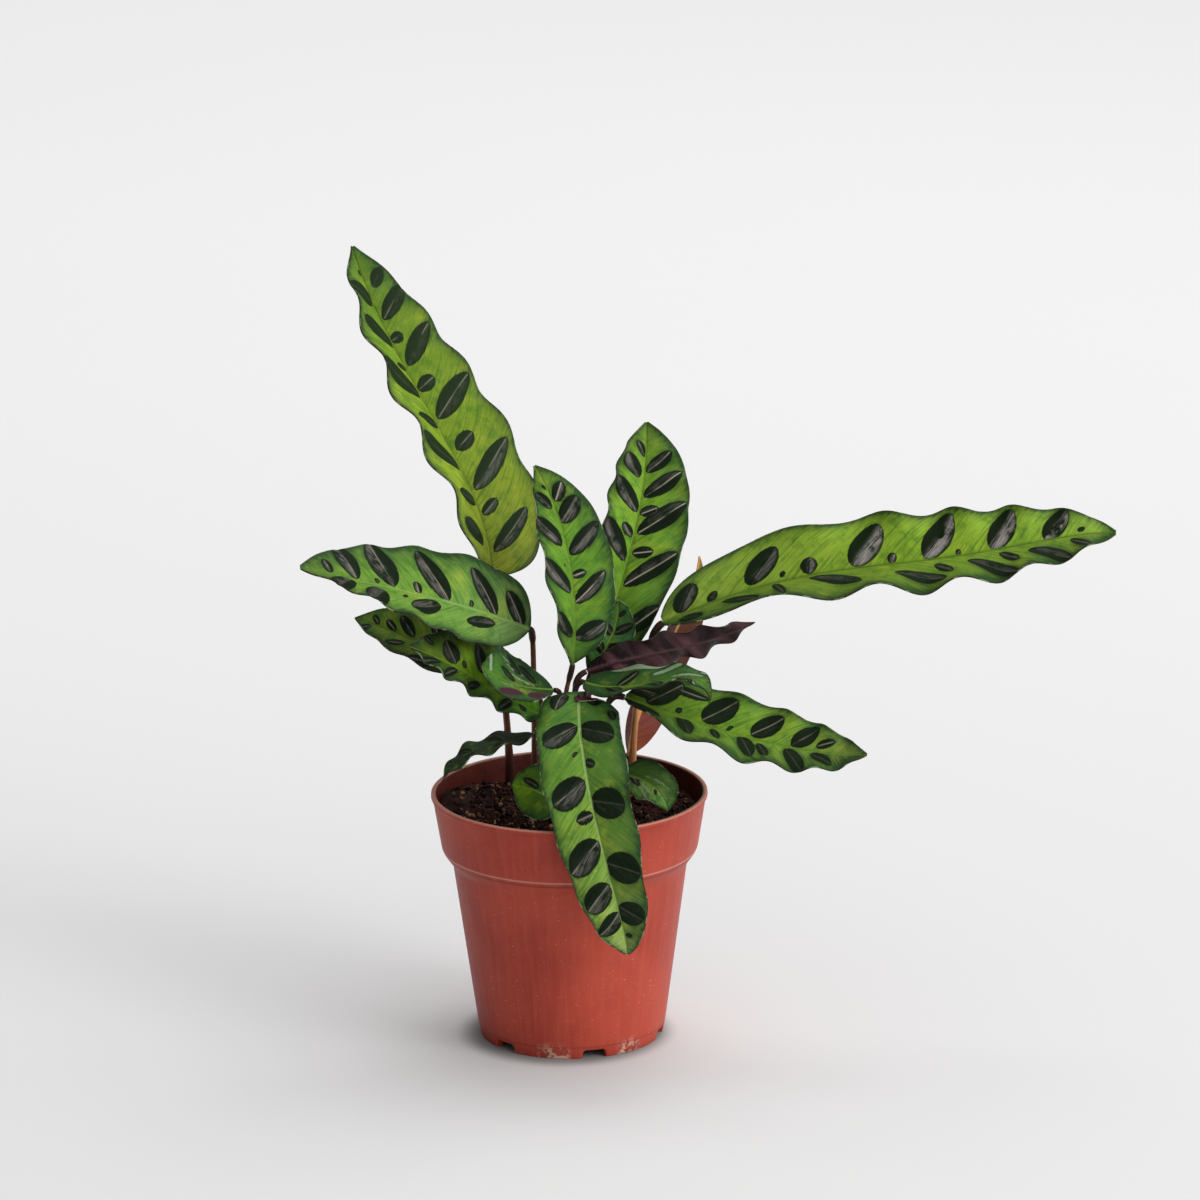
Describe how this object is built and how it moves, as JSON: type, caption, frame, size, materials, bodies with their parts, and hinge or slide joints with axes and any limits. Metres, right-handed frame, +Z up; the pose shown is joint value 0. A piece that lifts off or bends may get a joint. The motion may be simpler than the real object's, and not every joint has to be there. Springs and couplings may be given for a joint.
{
  "type": "potted calathea",
  "caption": "Potted foliage plant: waved lance-shaped leaves with dark blotches on thin stalks, in a tapered plastic nursery pot filled with soil.",
  "frame": {"origin": "middle of the pot's underside, on the surface that the pot stands on", "axes": "+Z up; the front, where a leaf hangs over the rim, looks along -Y; the longest leaf reaches out along +X"},
  "size_m": [0.3477, 0.1534, 0.3349],
  "materials": {
    "pot": "moulded terracotta-coloured plastic with fine scratches and lime marks",
    "soil": "rough damp peat",
    "leaf": "satin lime-green leaf with dark green blotches and a maroon underside",
    "purple_leaf": "satin maroon leaf underside",
    "stalk": "smooth reddish brown stalk"
  },
  "bodies": {
    "root": {"pot": "pot", "soil": "soil", "blade_tall_left": "leaf", "stalk_tall_left": "stalk", "blade_upper_left": "leaf", "stalk_upper_left": "stalk", "blade_back_left": "leaf", "stalk_back_left": "stalk", "blade_lower_left": "leaf", "stalk_lower_left": "stalk", "blade_curled_left": "leaf", "stalk_curled_left": "stalk", "blade_front_upright": "leaf", "stalk_front_upright": "stalk", "blade_back_upright": "leaf", "stalk_back_upright": "stalk", "blade_middle_small": "leaf", "stalk_middle_small": "stalk", "blade_long_right": "leaf", "stalk_long_right": "stalk", "blade_purple_right": "purple_leaf", "stalk_purple_right": "stalk", "blade_curled_right": "leaf", "stalk_curled_right": "stalk", "blade_lower_right": "leaf", "stalk_lower_right": "stalk", "blade_front_hanging": "leaf", "stalk_front_hanging": "stalk", "blade_soil_left": "leaf", "stalk_soil_left": "stalk", "blade_soil_right": "leaf", "stalk_soil_right": "stalk", "blade_thin_left": "leaf", "stalk_thin_left": "stalk", "blade_rolled_back": "purple_leaf", "stalk_rolled_back": "stalk"}
  },
  "joints": []
}
